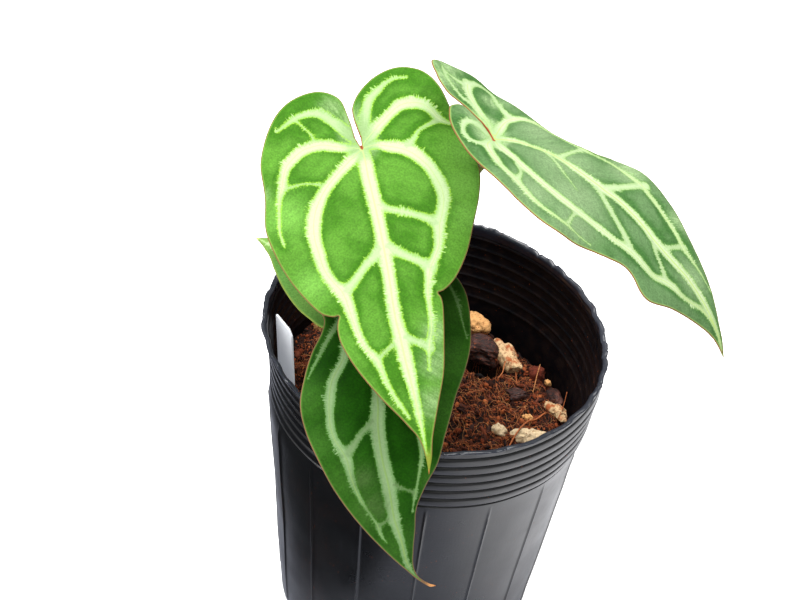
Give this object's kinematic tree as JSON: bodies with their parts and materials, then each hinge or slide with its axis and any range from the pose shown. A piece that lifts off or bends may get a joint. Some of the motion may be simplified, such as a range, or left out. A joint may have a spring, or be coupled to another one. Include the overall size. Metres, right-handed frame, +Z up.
{
  "type": "potted anthurium hybrid",
  "caption": "Young aroid house plant with velvety heart-shaped leaves and pale silver veins on slender stalks, rooted in coir and bark in a soft ribbed black grower's pot.",
  "frame": {"origin": "centre of the pot's underside", "axes": "+Z up along the pot's axis; -Y towards the side the front leaf hangs over, +X to that viewer's right"},
  "size_m": [0.1565, 0.1472, 0.2255],
  "materials": {
    "pot": "black satin polyethylene, lightly scuffed and dusty",
    "leaf": "velvety satin green with pale silver-green veins",
    "young_leaf": "satin pale green with a lime margin",
    "stalk": "smooth satin, olive with an orange-brown flush",
    "crown": "matt, ringed with papery scars",
    "mix": "matt damp coir crumbs and bark fibres",
    "pumice": "matt, pitted, cream to tan",
    "clay_stone": "matt baked red-brown",
    "husk": "matt fibrous dark brown",
    "label": "smooth white"
  },
  "bodies": {
    "root": {"pot": "pot", "crown": "crown", "potting_mix": "mix", "plant_label": "label", "blade_front": "leaf", "stalk_front": "stalk", "blade_lower": "leaf", "stalk_lower": "stalk", "blade_right": "leaf", "stalk_right": "stalk", "blade_back": "young_leaf", "stalk_back": "stalk", "stone_tan": "pumice", "stone_long": "pumice", "stone_split": "pumice", "stone_brown": "pumice", "stone_white": "pumice", "stone_cream": "pumice", "stone_left": "pumice", "stone_rear": "pumice", "stone_near": "pumice", "stone_pink": "pumice", "stone_red": "clay_stone", "husk_large": "husk", "husk_dark": "husk", "husk_small": "husk", "husk_left": "husk", "husk_rear": "husk"}
  },
  "joints": []
}
